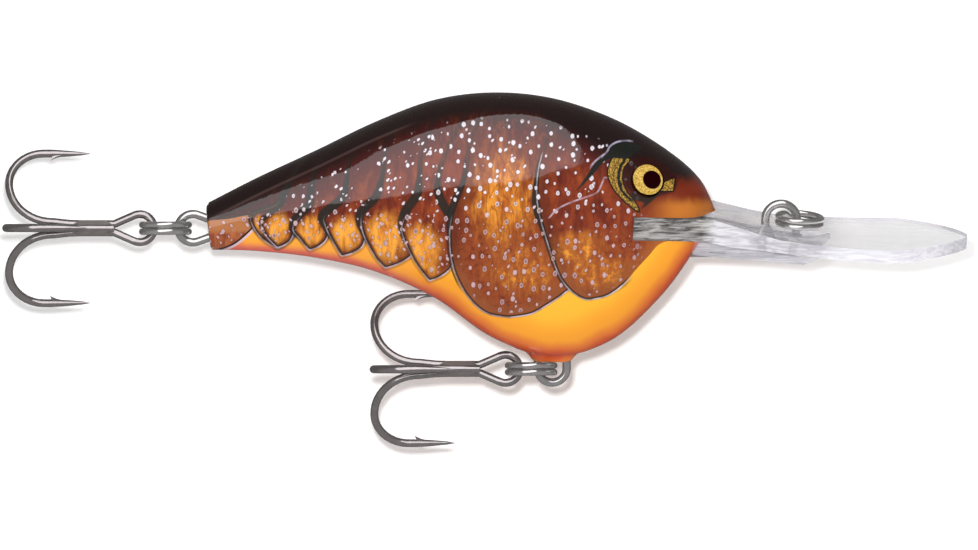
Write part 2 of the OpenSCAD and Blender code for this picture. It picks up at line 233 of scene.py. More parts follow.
class Value:
    """A number that a material's nodes work out, with the sums that can be done on it."""

    def __init__(self, look, socket):
        self.look, self.socket = look, socket

    def math(self, operation, *values):
        return self.look.value("Math", 0, enumerate(values), operation=operation)

    def __add__(self, other):
        return self.math("ADD", self, other)

    def __sub__(self, other):
        return self.math("SUBTRACT", self, other)

    def __rsub__(self, other):
        return self.math("SUBTRACT", other, self)

    def __mul__(self, other):
        return self.math("MULTIPLY", self, other)

    def __abs__(self):
        return self.math("ABSOLUTE", self)

    def least(self, other):
        return self.math("MINIMUM", self, other)

    def most(self, other):
        return self.math("MAXIMUM", self, other)

    def ramp(self, low, high, out_low=0.0, out_high=1.0):
        """Rises smoothly from out_low to out_high as this goes from low to high; low may be the larger."""
        inputs = {"Value": self, "From Min": low, "From Max": high, "To Min": out_low, "To Max": out_high}
        return self.look.value("MapRange", 0, inputs, interpolation_type="SMOOTHSTEP")

    def band(self, low, high, soft=0.03):
        """1 where this lies between low and high."""
        return self.ramp(low - soft, low + soft) * self.ramp(high + soft, high - soft)

    def around(self, amount):
        """A noise, as an amount either way of 0."""
        return (self - 0.5) * amount

    def fade(self, low, high, a, b):
        """Goes from a to b as this goes from low to high."""
        return self.look.mix(self.ramp(low, high), a, b)


class Nodes:
    """The nodes of a material or a world. Numbers, colour texts, Values and sockets go into them."""

    def __init__(self, owner):
        owner.use_nodes = True
        self.tree = owner.node_tree

    def put(self, value, socket):
        if isinstance(value, Value):
            value = value.socket
        if isinstance(value, bpy.types.NodeSocket):
            self.tree.links.new(value, socket)
        elif isinstance(value, str):
            socket.default_value = (*colour(value), 1)
        else:
            socket.default_value = value

    def node(self, kind, inputs=(), **settings):
        node = self.tree.nodes.new("ShaderNode" + kind)
        for key, value in settings.items():
            setattr(node, key, value)
        for key, value in dict(inputs).items():
            self.put(value, node.inputs[key])
        return node

    def value(self, kind, output, inputs=(), **settings):
        """One output of a new node."""
        return Value(self, self.node(kind, inputs, **settings).outputs[output])

    def mix_shaders(self, share, a, b):
        return self.node("MixShader", {0: share, 1: a, 2: b}).outputs[0]

    def show(self, shader):
        """Makes a shader the one that is seen."""
        output = next(node for node in self.tree.nodes if node.name.endswith("Output"))
        self.tree.links.new(shader, output.inputs["Surface"])


class Look(Nodes):
    """A material under construction."""

    def __init__(self, name, **principled):
        self.material = bpy.data.materials.new(name)
        super().__init__(self.material)
        self.surface = self.tree.nodes["Principled BSDF"]
        self.set(**principled)

    def set(self, **principled):
        for key, value in principled.items():
            self.put(value, self.surface.inputs[key.replace("_", " ")])

    def parts(self, kind, vector):
        """The three parts of a vector or a colour."""
        return [Value(self, socket) for socket in self.node(kind, {0: vector}).outputs]

    def mix(self, factor, a, b):
        return self.node("Mix", {0: factor, 6: a, 7: b}, data_type="RGBA").outputs[2]

    def field(self, name):
        return self.value("Attribute", "Fac", attribute_name=name)

    def vector_field(self, name):
        return self.node("Attribute", attribute_name=name).outputs["Vector"]

    def place(self):
        """Position in the object's own frame, in millimetres."""
        return self.scaled(self.node("TexCoord").outputs["Object"], (1000, 1000, 1000))

    def scaled(self, vector, factors):
        return self.node("VectorMath", {0: vector, 1: factors}, operation="MULTIPLY").outputs[0]

    def distance(self, vector, point):
        return self.value("VectorMath", "Value", {0: vector, 1: point}, operation="DISTANCE")

    def noise(self, vector, scale, detail=3.0, roughness=0.5, distortion=0.0):
        inputs = {"Vector": vector, "Scale": scale, "Detail": detail}
        inputs |= {"Roughness": roughness, "Distortion": distortion}
        return self.value("TexNoise", "Fac", inputs, noise_dimensions="3D")

    def bump(self, height, distance, strength=1.0):
        inputs = {"Height": height, "Distance": distance * MM, "Strength": strength}
        return self.node("Bump", inputs).outputs["Normal"]

    def let_through(self, share):
        """Makes the surface clear by a share."""
        clear = self.node("BsdfTransparent").outputs[0]
        self.show(self.mix_shaders(share, self.surface.outputs[0], clear))


def give(material, *pieces):
    for piece in pieces:
        piece.data.materials.clear()
        piece.data.materials.append(material)


# ---------- camera, lights, floor ----------

PICTURE_WIDTH = 115.06                   # mm across the picture at the lure
CAMERA_DISTANCE = 1500
PICTURE_CENTRE = Vector((-34.35, -1.37, -6.44))
TOWARDS_VIEWER = Vector((0, -UP_SHARE, DEPTH_SHARE))


def aimed(name, data, away, distance):
    """A camera or a light at a distance from the lure, in the direction away, turned to it."""
    thing = bpy.data.objects.new(name, data)
    thing.location = (PICTURE_CENTRE + distance * away) * MM
    thing.rotation_euler = away.to_track_quat("Z", "Y").to_euler()
    bpy.context.scene.collection.objects.link(thing)
    return thing


def add_camera():
    data = bpy.data.cameras.new("camera")
    data.sensor_width = 36
    data.lens = data.sensor_width * CAMERA_DISTANCE / PICTURE_WIDTH
    data.clip_end = 20
    bpy.context.scene.camera = aimed("camera", data, TOWARDS_VIEWER, CAMERA_DISTANCE)


def facing(azimuth, elevation):
    """The direction of an azimuth, 0 being the camera's side and 90 the lip's, and an elevation."""
    a, e = math.radians(azimuth), math.radians(elevation)
    return Vector((math.sin(a) * math.cos(e), -math.cos(a) * math.cos(e), math.sin(e)))


def add_light(name, azimuth, elevation, distance, size, power):
    """An area light turned to the lure, which the gloss doesn't mirror."""
    data = bpy.data.lights.new(name, "AREA")
    data.shape = "RECTANGLE"
    data.size, data.size_y = size[0] * MM, size[1] * MM
    data.energy = power
    light = aimed(name, data, facing(azimuth, elevation), distance)
    light.visible_glossy = False
    light.visible_transmission = False


def add_card(name, outline, distance, radiance):
    """A glowing card over the near flank that only the gloss and the metal mirror. Its outline is in shares
    of its distance, as seen along the direction 37 degrees up."""
    towards = Vector((0, -0.8, 0.6))
    up = Vector((0, 0.6, 0.8))
    corners = []
    for x, y in rounded_outline(outline).tolist():
        corners.append(tuple(Vector((-33, 0, 0)) + distance * (towards + x * Vector((1, 0, 0)) + y * up)))
    card = add_mesh(name, corners, [tuple(range(len(corners)))], None)
    look = Look(name + "_glow", Base_Color=(0, 0, 0, 1), Specular_IOR_Level=0.0)
    weave = look.noise(look.place(), 0.02)
    look.set(Emission_Color=look.mix(weave, "FBFAFF", "FFFFFF"), Emission_Strength=radiance)
    give(look.material, card)
    card.visible_camera = False
    card.visible_diffuse = False
    card.visible_shadow = False
    card.visible_transmission = False


def add_world(white, diffuse, gloss_front, gloss_back):
    """White where the camera looks past everything, a soft grey as light; the gloss mirrors a room that is
    dim in front and below, and dark above and behind."""
    world = bpy.data.worlds.new("studio")
    room = Nodes(world)
    world.cycles.sampling_method = "NONE"
    bpy.context.scene.world = world
    way = room.node("TexCoord").outputs["Generated"]
    front = room.value("VectorMath", "Value", {0: way, 1: (0, -0.87, -0.5)}, operation="DOT_PRODUCT")
    levels = {"From Min": -0.25, "From Max": 0.35, "To Min": gloss_back, "To Max": gloss_front}
    gloss = room.value("MapRange", 0, {"Value": front, **levels})
    rays = room.node("LightPath").outputs
    soft = world.node_tree.nodes["Background"]
    room.put((diffuse, diffuse, diffuse, 1), soft.inputs["Color"])
    shader = soft.outputs[0]
    for kind, level in (("Is Glossy Ray", gloss), ("Is Transmission Ray", white), ("Is Camera Ray", white)):
        glow = room.node("Background", {"Color": "FFFFFF", "Strength": level}).outputs[0]
        shader = room.mix_shaders(rays[kind], shader, glow)
    room.show(shader)


def add_stage_plane(name, centre, facing_way, width, height, material):
    across = Vector((1, 0, 0))
    along = Vector(facing_way).cross(across).normalized()
    corners = [centre + across * (i * width / 2) + along * (j * height / 2)
               for i, j in ((-1, -1), (1, -1), (1, 1), (-1, 1))]
    plane = add_mesh(name, [tuple(c) for c in corners], [(0, 1, 2, 3)], None)
    give(material, plane)
    plane.visible_glossy = False
    return plane


def paper_look(name, dark, light, glow, one_sided=False):
    """White paper, with a glow of its own; one-sided paper is clear from behind."""
    look = Look(name, Roughness=0.9, Specular_IOR_Level=0.0)
    grain = look.noise(look.place(), 0.9, detail=4)
    look.set(Base_Color=look.mix(grain, dark, light), Emission_Color=look.mix(grain, "FAFAFA", "FFFFFF"))
    look.set(Emission_Strength=glow)
    if one_sided:
        look.let_through(look.value("NewGeometry", "Backfacing"))
    return look.material


CARD_OUTLINE = [(-0.72, -0.92), (-0.82, -0.3), (-0.74, 0.15), (-0.6, 0.55), (-0.28, 0.66), (0.17, 1.17),
                (0.42, 0.95), (0.37, 0.15), (0.24, -0.17), (-0.04, -0.48), (-0.33, -0.68)]
BACKDROP_GAP = 30                        # behind the lure, which throws its soft shadow there
FLOOR_Z = -48


def build_stage():
    bpy.context.scene.view_settings.view_transform = "Standard"
    add_camera()
    add_world(1.0, 0.29, 0.33, 0.13)
    add_light("key_light", -10, 35, 420, (420, 300), 0.62)
    add_light("fill_light", 0, -35, 500, (420, 300), 0.6)
    add_light("front_light", -0.8, 13.9, 900, (24, 24), 5.2)
    add_light("rear_light", 170, 40, 420, (420, 300), 2.4)
    add_card("flank_card", CARD_OUTLINE, 300, 2.5)
    centre = PICTURE_CENTRE - BACKDROP_GAP * TOWARDS_VIEWER
    paper = paper_look("backdrop_paper", "FAFAFA", "FFFFFF", 0.05, True)
    backdrop = add_stage_plane("backdrop", centre, TOWARDS_VIEWER, 700, 500, paper)
    backdrop.visible_shadow = False
    paper = paper_look("floor_paper", "8C8C8C", "949494", 0.85)
    floor = add_stage_plane("floor", Vector((-30, 0, FLOOR_Z)), Vector((0, 0, 1)), 3000, 3000, paper)
    floor.visible_diffuse = False
    floor.visible_shadow = False


# ---------- body ----------

TAIL_X = -67.6
BODY_WIDTH = 17
SQUARENESS = 2.2
TOP_LINE = [(0, 1.8), (6, 4.9), (13, 8.2), (20, 11.6), (27, 14.2), (34, 15.05), (41, 14.3),
            (48, 11.85), (54, 8.3), (58, 4.75), (60, 0.8)]
BELLY_LINE = [(0.5, -3.6), (6, -3.75), (13, -4.55), (20, -6.2), (27, -9.4), (33.5, -14), (40.5, -16.4),
              (47.5, -14.5), (53.3, -9.3), (57.2, -3.9), (60, 0.8)]
WIDTH_LINE = [0.31, 0.43, 0.59, 0.76, 0.9, 0.98, 1, 0.93, 0.79, 0.57, 0]
TAIL_ROUND = 0.45
SKIN_ROWS, SKIN_SIDES = 360, 170
BELLY_EYE = (-26.9, -18)
PAD_BOTTOM, PAD_LENGTH, PAD_WIDTH = -16.95, 4.6, 2.8
LIP_PITCH = math.radians(4)
LIP_TILT = Matrix.Rotation(LIP_PITCH, 4, "Y")
STEM_REAR, STEM_BOTTOM, STEM_TOP = -17.4, -2.16, 0.49
KEEL_HALF = 1.6
KEEL_SLOT = [(4, -1.9), (-13.55, -1.9), (-13.55, -3.95), (-9.5, -4.8), (4, -5.1)]
GAP = 0.05
EYE_STATION, EYE_ANGLE = 7.62, math.radians(37)
EYE_RADIUS, EYE_SINK = 1.95, 0.35
SOCKET_REACH = 4                         # how far out the eye's cutter goes, clear of the skin
CUTTER_REACH = 60                        # past both ends of the stem's slot


def skin(t, angle):
    """Points on the right flank, at stations t and angles from straight down to straight up."""
    top, low = smooth(TOP_LINE, t), smooth(BELLY_LINE, t)
    half = smooth(WIDTH_LINE, t) * BODY_WIDTH / 2
    power = 2 / SQUARENESS
    rise = np.sign(np.sin(angle)) * np.abs(np.sin(angle)) ** power
    side = (top + low) / 2 + (top - low) / 2 * rise[:, None]
    out = half * np.clip(np.cos(angle), 0, None) ** power
    return np.stack([TAIL_X + side[:, 0], -out, side[:, 1]], 1)


def pad_flare(points):
    """Pulls the skin down into the pad round the belly hanger."""
    beyond = np.maximum(np.abs(points[:, 0] - BELLY_EYE[0]) - (PAD_LENGTH - PAD_WIDTH) / 2, 0)
    radius = np.hypot(beyond, points[:, 1])
    flare = PAD_BOTTOM + np.maximum(radius - PAD_WIDTH / 2, 0) * 1.25
    soft = 0.35
    z = points[:, 2]
    blend = np.clip(0.5 + 0.5 * (z - flare) / soft, 0, 1)
    lowered = z * (1 - blend) + flare * blend - soft * blend * (1 - blend)
    points[:, 2] = np.where((z < 0) & (radius < 6), np.maximum(lowered, PAD_BOTTOM), z)
    return points


def half_body():
    """Vertices and faces of the closed right half, its last face rows lying in the middle plane."""
    angles = np.linspace(-math.pi / 2, math.pi / 2, SKIN_SIDES + 1)
    rows = []
    tail = skin(np.zeros(len(angles)), angles)
    middle = (tail[0] + tail[-1]) / 2
    for turn in np.radians([0, 22, 44, 66]):
        inset = TAIL_ROUND * (1 - math.sin(turn))
        ring = tail - middle
        ring[:, 1] *= 1 + inset / tail[:, 1].min()
        ring[:, 2] *= 1 - inset / (tail[-1, 2] - middle[2])
        ring[:, 0] += TAIL_ROUND * (1 - math.cos(turn))
        rows.append(ring + middle)
    first = TAIL_ROUND / (TOP_LINE[1][0] - TOP_LINE[0][0])
    for t in np.linspace(first, len(TOP_LINE) - 1, SKIN_ROWS)[:-1]:
        rows.append(pad_flare(skin(np.full(len(angles), t), angles)))
    sides, count = len(angles), len(rows)
    nose = skin([len(TOP_LINE) - 1.0], np.array([0.0]))
    vertices = np.concatenate([*rows, nose])
    faces = [f[::-1] for f in grid_faces(count, sides, closed=False)]
    apex, last = count * sides, (count - 1) * sides
    faces += [(last + k + 1, last + k, apex) for k in range(sides - 1)]
    faces += [(last, last + sides - 1, apex)]
    faces += [(r * sides, r * sides + sides - 1, (r + 1) * sides + sides - 1, (r + 1) * sides)
              for r in range(count - 1)]
    faces.append(tuple(range(sides)))
    return vertices, faces


def box_part(low, high):
    corners = [(x, y, z) for x in (low[0], high[0]) for y in (low[1], high[1]) for z in (low[2], high[2])]
    sides = [(0, 1, 3, 2), (4, 6, 7, 5), (0, 4, 5, 1), (2, 3, 7, 6), (0, 2, 6, 4), (1, 5, 7, 3)]
    return np.array(corners, float), sides


def slab_part(outline, half):
    """An outline in the middle plane, as thick as twice half."""
    return prism([(x, side * half, z) for side in (-1, 1) for x, z in outline])


def eye_frame(side):
    """A matrix with z out of the skin at the eye and x forwards; side is -1 on the right, 1 on the left."""
    t, a = np.array([EYE_STATION]), np.array([EYE_ANGLE])
    step = 0.02
    along = skin(t + step, a)[0] - skin(t - step, a)[0]
    up = skin(t, a + step)[0] - skin(t, a - step)[0]
    out = Vector(np.cross(up, along)).normalized()
    out = out if out.y < 0 else -out
    place = Vector(skin(t, a)[0])
    out.y *= -side
    place.y *= -side
    forward = (Vector((1, 0, 0)) - out * out.x).normalized()
    up = out.cross(forward)
    turn = Matrix((forward, up, out)).transposed().to_4x4()
    return Matrix.Translation(place - out * EYE_SINK) @ turn


def cut(piece, cutters, material):
    """Takes the cutters out of the piece; the cut faces get the material."""
    for vertices, faces in cutters:
        tool = add_mesh("cutter", vertices, faces, None)
        give(material, tool)
        modifier = piece.modifiers.new("cut", "BOOLEAN")
        modifier.operation = "DIFFERENCE"
        modifier.solver = "MANIFOLD"
        modifier.material_mode = "TRANSFER"
        modifier.object = tool
    bpy.context.view_layer.update()
    result = bpy.data.meshes.new_from_object(piece.evaluated_get(bpy.context.evaluated_depsgraph_get()))
    piece.modifiers.clear()
    piece.data = result
    for tool in [o for o in bpy.data.objects if o.name.startswith("cutter")]:
        bpy.data.objects.remove(tool)


def body_cutters(side):
    far = CUTTER_REACH
    stem = box_part((STEM_REAR - GAP, -far, STEM_BOTTOM - GAP), (far, far, STEM_TOP + GAP))
    keel = slab_part(KEEL_SLOT, KEEL_HALF + GAP)
    ring = arc((0, 0), EYE_RADIUS + GAP, 0, 360, 64)[:-1]
    socket = prism([(x, y, z) for z in (0, SOCKET_REACH) for x, y in ring])
    return [moved(stem, LIP_TILT), moved(keel, LIP_TILT), moved(socket, eye_frame(side))]


def seam_normals(mesh):
    """Makes both halves shade as one skin where they meet on the middle plane."""
    normals = read(mesh.corner_normals, "vector", 3, np.float32)
    places = read(mesh.vertices, "co", 3, np.float32)
    corner_vertex = read(mesh.loops, "vertex_index", 1, np.int32)[:, 0]
    on_seam = np.abs(places[corner_vertex, 1]) < 1e-7
    outer = np.abs(normals[:, 1]) < 0.7
    normals[on_seam & outer, 1] = 0
    normals /= np.maximum(np.linalg.norm(normals, axis=1), 1e-9)[:, None]
    mesh.normals_split_custom_set(normals.tolist())


# ---------- the paint's drawing ----------

# Each shell plate, from the tail forwards: its rear edge from the back down to its lowest point, then its
# lower edge forwards to the next plate. Each covers part of the one behind it.
PLATES = [
    ([(-53.5, 9.5), (-56.9, 5.6), (-58.2, 3.2), (-59.2, 1.5), (-61.9, 0.5), (-62, -0.6), (-60.9, -2.2),
      (-59.2, -3.3)],
     [(-59.2, -3.3), (-58.6, -3.0)]),
    ([(-53, 9.5), (-56.6, 5.6), (-57.9, 3.2), (-58.7, 1.4), (-60.8, -0.2), (-60.6, -1.6), (-59.2, -3.2)],
     [(-59.2, -3.2), (-58.4, -2.9), (-57.7, -2.3), (-57.3, -1.2)]),
    ([(-49.5, 11.5), (-52, 8.6), (-54.1, 6.4), (-54.8, 4.1), (-55, 1.6), (-56.2, 0.3), (-57.2, -1.1),
      (-56.4, -2.3), (-55.4, -3.5)],
     [(-55.4, -3.5), (-54.4, -3.1), (-53.6, -2.4), (-53.3, -1.6)]),
    ([(-46.5, 13), (-48.8, 9.8), (-50.5, 6.8), (-50.8, 4.4), (-51.2, 2.2), (-53.4, 0.3), (-53.4, -0.7),
      (-52.7, -2.3), (-51.6, -4.2)],
     [(-51.6, -4.2), (-50.3, -3.8), (-49.2, -2.9), (-48.9, -0.7)]),
    ([(-41, 15), (-44.6, 11.5), (-46.1, 8.7), (-46.7, 4.7), (-47.3, 2.3), (-49, 0.5), (-49, -1.5),
      (-47.7, -4.2), (-46.5, -5.6)],
     [(-46.5, -5.6), (-45, -5.1), (-43.6, -4.2), (-43.7, -3.2)]),
    ([(-36, 16), (-39.9, 12.5), (-42, 7.8), (-42.3, 4.7), (-42.4, 2.7), (-43.8, 0.6), (-44.4, -1.4),
      (-43.5, -3.8), (-42.6, -5.4), (-41.3, -7.1)],
     [(-41.3, -7.1), (-39.9, -6.5), (-38.9, -5.6), (-38.6, -4.8)]),
    ([(-33.5, 17), (-36.8, 12.4), (-39.3, 7.6), (-40.1, 4.5), (-39.7, 2.6), (-38.8, 0.9)],
     [(-38.8, 0.9), (-38, 0.8)]),
    ([(-30.5, 17), (-34.5, 12.6), (-36.4, 9.2), (-36.8, 6.2), (-37.3, 3.8), (-38.4, 0.8), (-38.8, -2),
      (-38.4, -5.6), (-36.8, -8.9), (-34.6, -10.9), (-32, -11.4)],
     [(-32, -11.4), (-29.5, -11), (-27.5, -9.9), (-26, -8.9)]),
    ([(-24.5, 17), (-26.9, 10.5), (-28.1, 7.1), (-28.6, 4.1), (-28.4, 1), (-27.4, -2.6), (-26.1, -6.3),
      (-24.7, -8.3), (-23.2, -9.25), (-22.3, -9.3)],
     [(-22.3, -9.3), (-20.4, -8.8), (-18.4, -7.3), (-15.8, -4.5), (-13.8, -2.7), (-9, -2.2), (-5, -2)]),
]
TAIL_PATCH = [(-68.4, -0.5), (-64.9, 0.2), (-62.2, 0.6), (-61.9, -0.4), (-62.2, -1.2), (-64.2, -2.9),
              (-66.4, -3.7), (-68.4, -3.8)]
TAIL_BACK = [(-70, -0.7), (-65.1, 0.1), (-62.2, 0.6), (-59.5, 1.6), (-54, 6), (-46, 11), (-30, 15), (-30, 20),
             (-70, 20)]
# Airbrushed amber patches: centre, then half width and half height
AMBER = [(-59.1, -1.3, 1.3, 1.7), (-55.3, -1.6, 1.4, 1.7), (-51.2, -1.9, 1.6, 1.9), (-46.5, -2.4, 2.2, 2.7),
         (-42, -4, 1.9, 2.9), (-32.7, 2, 3.4, 5.6), (-30.3, -6, 4.0, 2.6), (-24, -3.4, 3, 1.7),
         (-21.3, -6.4, 3.6, 1.9), (-9.8, 1.6, 2.4, 1.3), (-65.1, -0.6, 3, 0.7), (-61.4, -1, 0.7, 1.3)]
SOCKET = [(-18.7, 5.6), (-17.7, 7), (-15.8, 7.35), (-14, 6.5), (-12.4, 5), (-12.5, 3.3), (-14.2, 2.7),
          (-16, 2.45), (-17.8, 3.1), (-18.6, 4.2)]
GOLD_CORNER = [(-14.5, 3.3), (-13.6, 4.4), (-12.6, 4.75), (-12.8, 3.3)]
GOLD_CRESCENT = [(-19.6, 7.3), (-20.4, 5.6), (-20, 4), (-19, 2.6), (-17.8, 1.5), (-16.8, 0.9), (-17.4, 2.1),
                 (-18.3, 3.2), (-18.8, 4.6), (-18.6, 6), (-17.9, 7)]
BROW = [(-24.4, 2.9), (-23, 4.9), (-21.9, 6.5), (-20.5, 7.6), (-20, 8.4), (-19, 8.9), (-17.5, 8.9),
        (-16.4, 8.3), (-17.3, 7.8), (-18.4, 7.1), (-19.9, 7.1), (-21, 6.6), (-22, 5.4), (-23.1, 4.2)]
SMEAR = [(-17.7, 3.1), (-16, 2.55), (-14.5, 2.9), (-15.5, 1.9), (-16.6, 1.1), (-16.2, 1.9), (-17.3, 2.2)]
CHEEK_CURVE = [(-27.3, 0.1), (-26.5, 1), (-25.5, 1.6), (-24, 2.2), (-22.8, 2.6), (-21.7, 3.1), (-21.1, 4.2),
               (-20.9, 4.8)]


def plate_outline(rear, lower):
    """A plate's whole outline; the closing stretch lies under the plates in front of it."""
    end = lower[-1]
    hidden = [(end[0] + 2.5, end[1] + 2), (end[0] + 6, 20), (rear[0][0], 20)]
    return np.concatenate([smooth_line(rear), smooth_line(lower)[1:], hidden])


def rounded_outline(points):
    """A smooth closed curve through the points."""
    loop = [points[-1], *points, points[0], points[1]]
    return smooth(loop, np.linspace(1, len(points) + 1, len(points) * 6, endpoint=False))


def silhouette(line):
    """The body's upper or lower edge in the side view."""
    edge = smooth_line(line)
    return np.stack([TAIL_X + edge[:, 0], edge[:, 1] * UP_SHARE], 1)


def depth_below(points, line):
    """Distance from an open line."""
    shape = np.concatenate([line, line[::-1]])
    return np.abs(signed_distance(points, shape))


def paint_fields(mesh):
    """Stores where each vertex lies in the drawing, in millimetres."""
    x, y, z = (read(mesh.vertices, "co", 3) / MM).T
    count = len(x)
    at = np.stack([x, z * UP_SHARE - np.abs(y) * DEPTH_SHARE], 1)

    def store(name, values):
        mesh.attributes.new(name, "FLOAT", "POINT").data.foreach_set("value", np.asarray(values, np.float32))

    drawing = np.zeros((count, 3), np.float32)
    drawing[:, :2] = at
    mesh.attributes.new("drawing", "FLOAT_VECTOR", "POINT").data.foreach_set("vector", drawing.ravel())
    store("u", at[:, 0])
    store("v", at[:, 1])
    for k, (rear, lower) in enumerate(PLATES):
        store(f"plate_{k}", signed_distance(at, plate_outline(rear, lower)))
    for name, outline in (("tail_patch", TAIL_PATCH), ("socket", SOCKET), ("brow", BROW), ("smear", SMEAR)):
        store(name, signed_distance(at, rounded_outline(outline)))
    store("tail_back", signed_distance(at, TAIL_BACK))
    store("from_back", depth_below(at, silhouette(TOP_LINE)))
    store("from_belly", depth_below(at, silhouette(BELLY_LINE)))
    amber = np.zeros(count)
    for u, v, half_width, half_height in AMBER:
        reach = np.hypot((at[:, 0] - u) / half_width, (at[:, 1] - v) / half_height)
        amber = np.maximum(amber, 1.5 - reach)
    store("amber", amber)
    crescent = signed_distance(at, rounded_outline(GOLD_CRESCENT))
    store("gold", np.maximum(signed_distance(at, GOLD_CORNER), crescent))
    cheek = np.concatenate([smooth_line(CHEEK_CURVE), [(-19.3, 4.8), (-19.3, -3), (-29, -3), (-29, -0.9)]])
    store("cheek", signed_distance(at, cheek))


INK = "1B1D19"
LILAC = "C9B6C4"
EYE_MIDDLE = (-15.95, 4.9, 0)            # in the drawing


class Paint(Look):
    """The crayfish pattern, put on coat by coat over the drawing."""

    def __init__(self):
        super().__init__("crayfish_paint")
        self.drawing = self.vector_field("drawing")
        self.u, self.v = self.field("u"), self.field("v")
        self.from_back, self.from_belly = self.field("from_back"), self.field("from_belly")
        grain = self.scaled(self.drawing, (1.0, 0.38, 1))
        self.streaks = self.noise(grain, 0.9, detail=5, roughness=0.62, distortion=0.4)
        self.mottle = self.noise(self.drawing, 1.6, detail=4, roughness=0.6)
        self.worn = self.noise(self.drawing, 0.9, detail=3).ramp(0.35, 0.6, 0.3, 0.9)

    def belly(self):
        """A red edge through orange to amber, pinker towards the tail."""
        edge = self.from_belly + self.noise(self.drawing, 0.22, detail=2).around(1.2)
        paint = edge.fade(0.0, 0.8, "D05026", "E0742C")
        paint = edge.fade(0.6, 1.9, paint, "F09C2A")
        paint = edge.fade(2.0, 5.0, paint, "F6B132")
        tail_paint = edge.fade(0.1, 1.2, "DC6654", "F6A338")
        return self.u.fade(-38, -48, paint, tail_paint)

    def flank(self):
        """A maroon shoulder over a rust flank, with amber airbrushed in and veined."""
        u, v, streaks, mottle = self.u, self.v, self.streaks, self.mottle
        rust = streaks.fade(0.3, 0.7, "581A0E", "8C3A1A")
        shoulder = self.from_back.fade(3.6, 8.5, "4E1411", rust)
        amber = streaks.fade(0.34, 0.7, "A5551C", "E29432")
        small_amber = streaks.fade(0.3, 0.62, "B8661E", "F2A43C")
        amber = u.fade(-39.5, -41, amber, small_amber)
        patch = self.field("amber") + streaks.around(0.8) + mottle.around(0.3)
        paint = patch.fade(0.0, 1.1, shoulder, amber)
        veins = self.noise(self.scaled(self.drawing, (1.1, 0.3, 1)), 0.75, detail=3, distortion=0.8)
        veined = veins.band(0.47, 0.53, 0.02) * u.ramp(-41, -39) * u.ramp(-26, -28) * 0.6
        paint = self.mix(veined, paint, "7A3512")
        smoked = mottle.ramp(0.36, 0.56) * v.ramp(0, -3.5) * u.ramp(-40, -38)
        return self.mix(smoked * 0.75, paint, "8E4420")

    def shell(self):
        """The flank under a near-black back, rust at the cheek and orange at the nose."""
        u = self.u
        back_edge = self.from_back + self.streaks.around(0.8) - u.ramp(-30, -20) * 1.6
        paint = back_edge.fade(4.6, 1.5, self.flank(), "1E1211")
        front = self.v + self.streaks.around(1.0)
        paint = self.mix(front.ramp(5.6, 3.4) * u.ramp(-17, -13) * 0.85, paint, "7C2C14")
        nose = front.ramp(2.9, 1.3) * u.ramp(-16.5, -12) * u.ramp(-7.7, -8.6, 0.35, 1.0)
        return self.mix(nose * 0.9, paint, "C27228")

    def tail_patch(self, paint):
        """A patch of shell over the tail, with a pale line along its lower edge."""
        patch = self.field("tail_patch")
        tone = self.streaks.fade(0.35, 0.65, "7A3622", "B0633A")
        tone = self.v.fade(-1.9, -1.2, tone, "AA6C40")
        paint = self.mix(patch.band(-0.28, -0.05) * self.v.ramp(-0.6, -1.2), paint, LILAC)
        paint = patch.fade(-0.06, 0.0, paint, "2A1814")
        return patch.fade(0.12, 0.24, paint, tone)

    def plates(self, paint, shell):
        """The plates, each with a dark shade behind it, an inked edge and a pale line outside that."""
        u, v = self.u, self.v
        swell = v.ramp(-3.5, 1.0) * v.ramp(5.5, 2.2, 0.3, 1.0)
        over_back = self.from_back.ramp(1.2, 3.2, 0.25, 1.0)
        faded = v.ramp(8.0, 4.5, 0.45, 0.93)
        rim_brown = v.fade(-3, -7.5, "57220F", "8C4E2A")
        for k, (rear, _) in enumerate(PLATES):
            inside = self.field(f"plate_{k}")
            last = k == len(PLATES) - 1
            big = k >= len(PLATES) - 2
            ends = u.ramp(-17.2, -18.8) if last else 1.0
            width = swell * (-0.25 if k < 2 else -0.55 if big else -0.72) - 0.12
            shade = inside.ramp(width - 0.25, width)
            paint = self.mix(shade * over_back * faded * ends, paint, INK)
            trail = inside.band(-0.5, -0.28) * v.ramp(8.0, 6.5) * v.ramp(-9, -7)
            paint = self.mix(trail * (0.85 if big else 0.35) * ends, paint, "2A211C")
            pale = inside.band(-0.24, -0.09) * (v.ramp(8.0, 7.2) if last else v.ramp(0.8, -1.6))
            beyond_tip = u.ramp(rear[-1][0] - 0.7, rear[-1][0] + 0.3, 0.5, 1.0)
            paint = self.mix(pale * self.worn * beyond_tip * ends, paint, "CBC5CF" if last else LILAC)
            rim = inside.ramp(1.9 if big else 0.4, 0.15)
            rimmed = self.mix(rim * self.from_back.ramp(3, 6) * 0.75, shell, rim_brown)
            if last:
                rimmed = self.mix(ends, self.mix(rim * 0.5, shell, "A9602C"), rimmed)
            paint = inside.fade(-0.05, 0.03, paint, rimmed)
            line = inside.band(-0.07, 0.1) * over_back * faded * ends
            paint = self.mix(line * 0.9, paint, "241712")
        return paint

    def on_shell(self):
        """How far inside any plate, or the tail patch."""
        reach = self.field(f"plate_{len(PLATES) - 1}")
        for k in range(len(PLATES) - 1):
            reach = reach.most(self.field(f"plate_{k}"))
        return reach.most(self.field("tail_patch"))

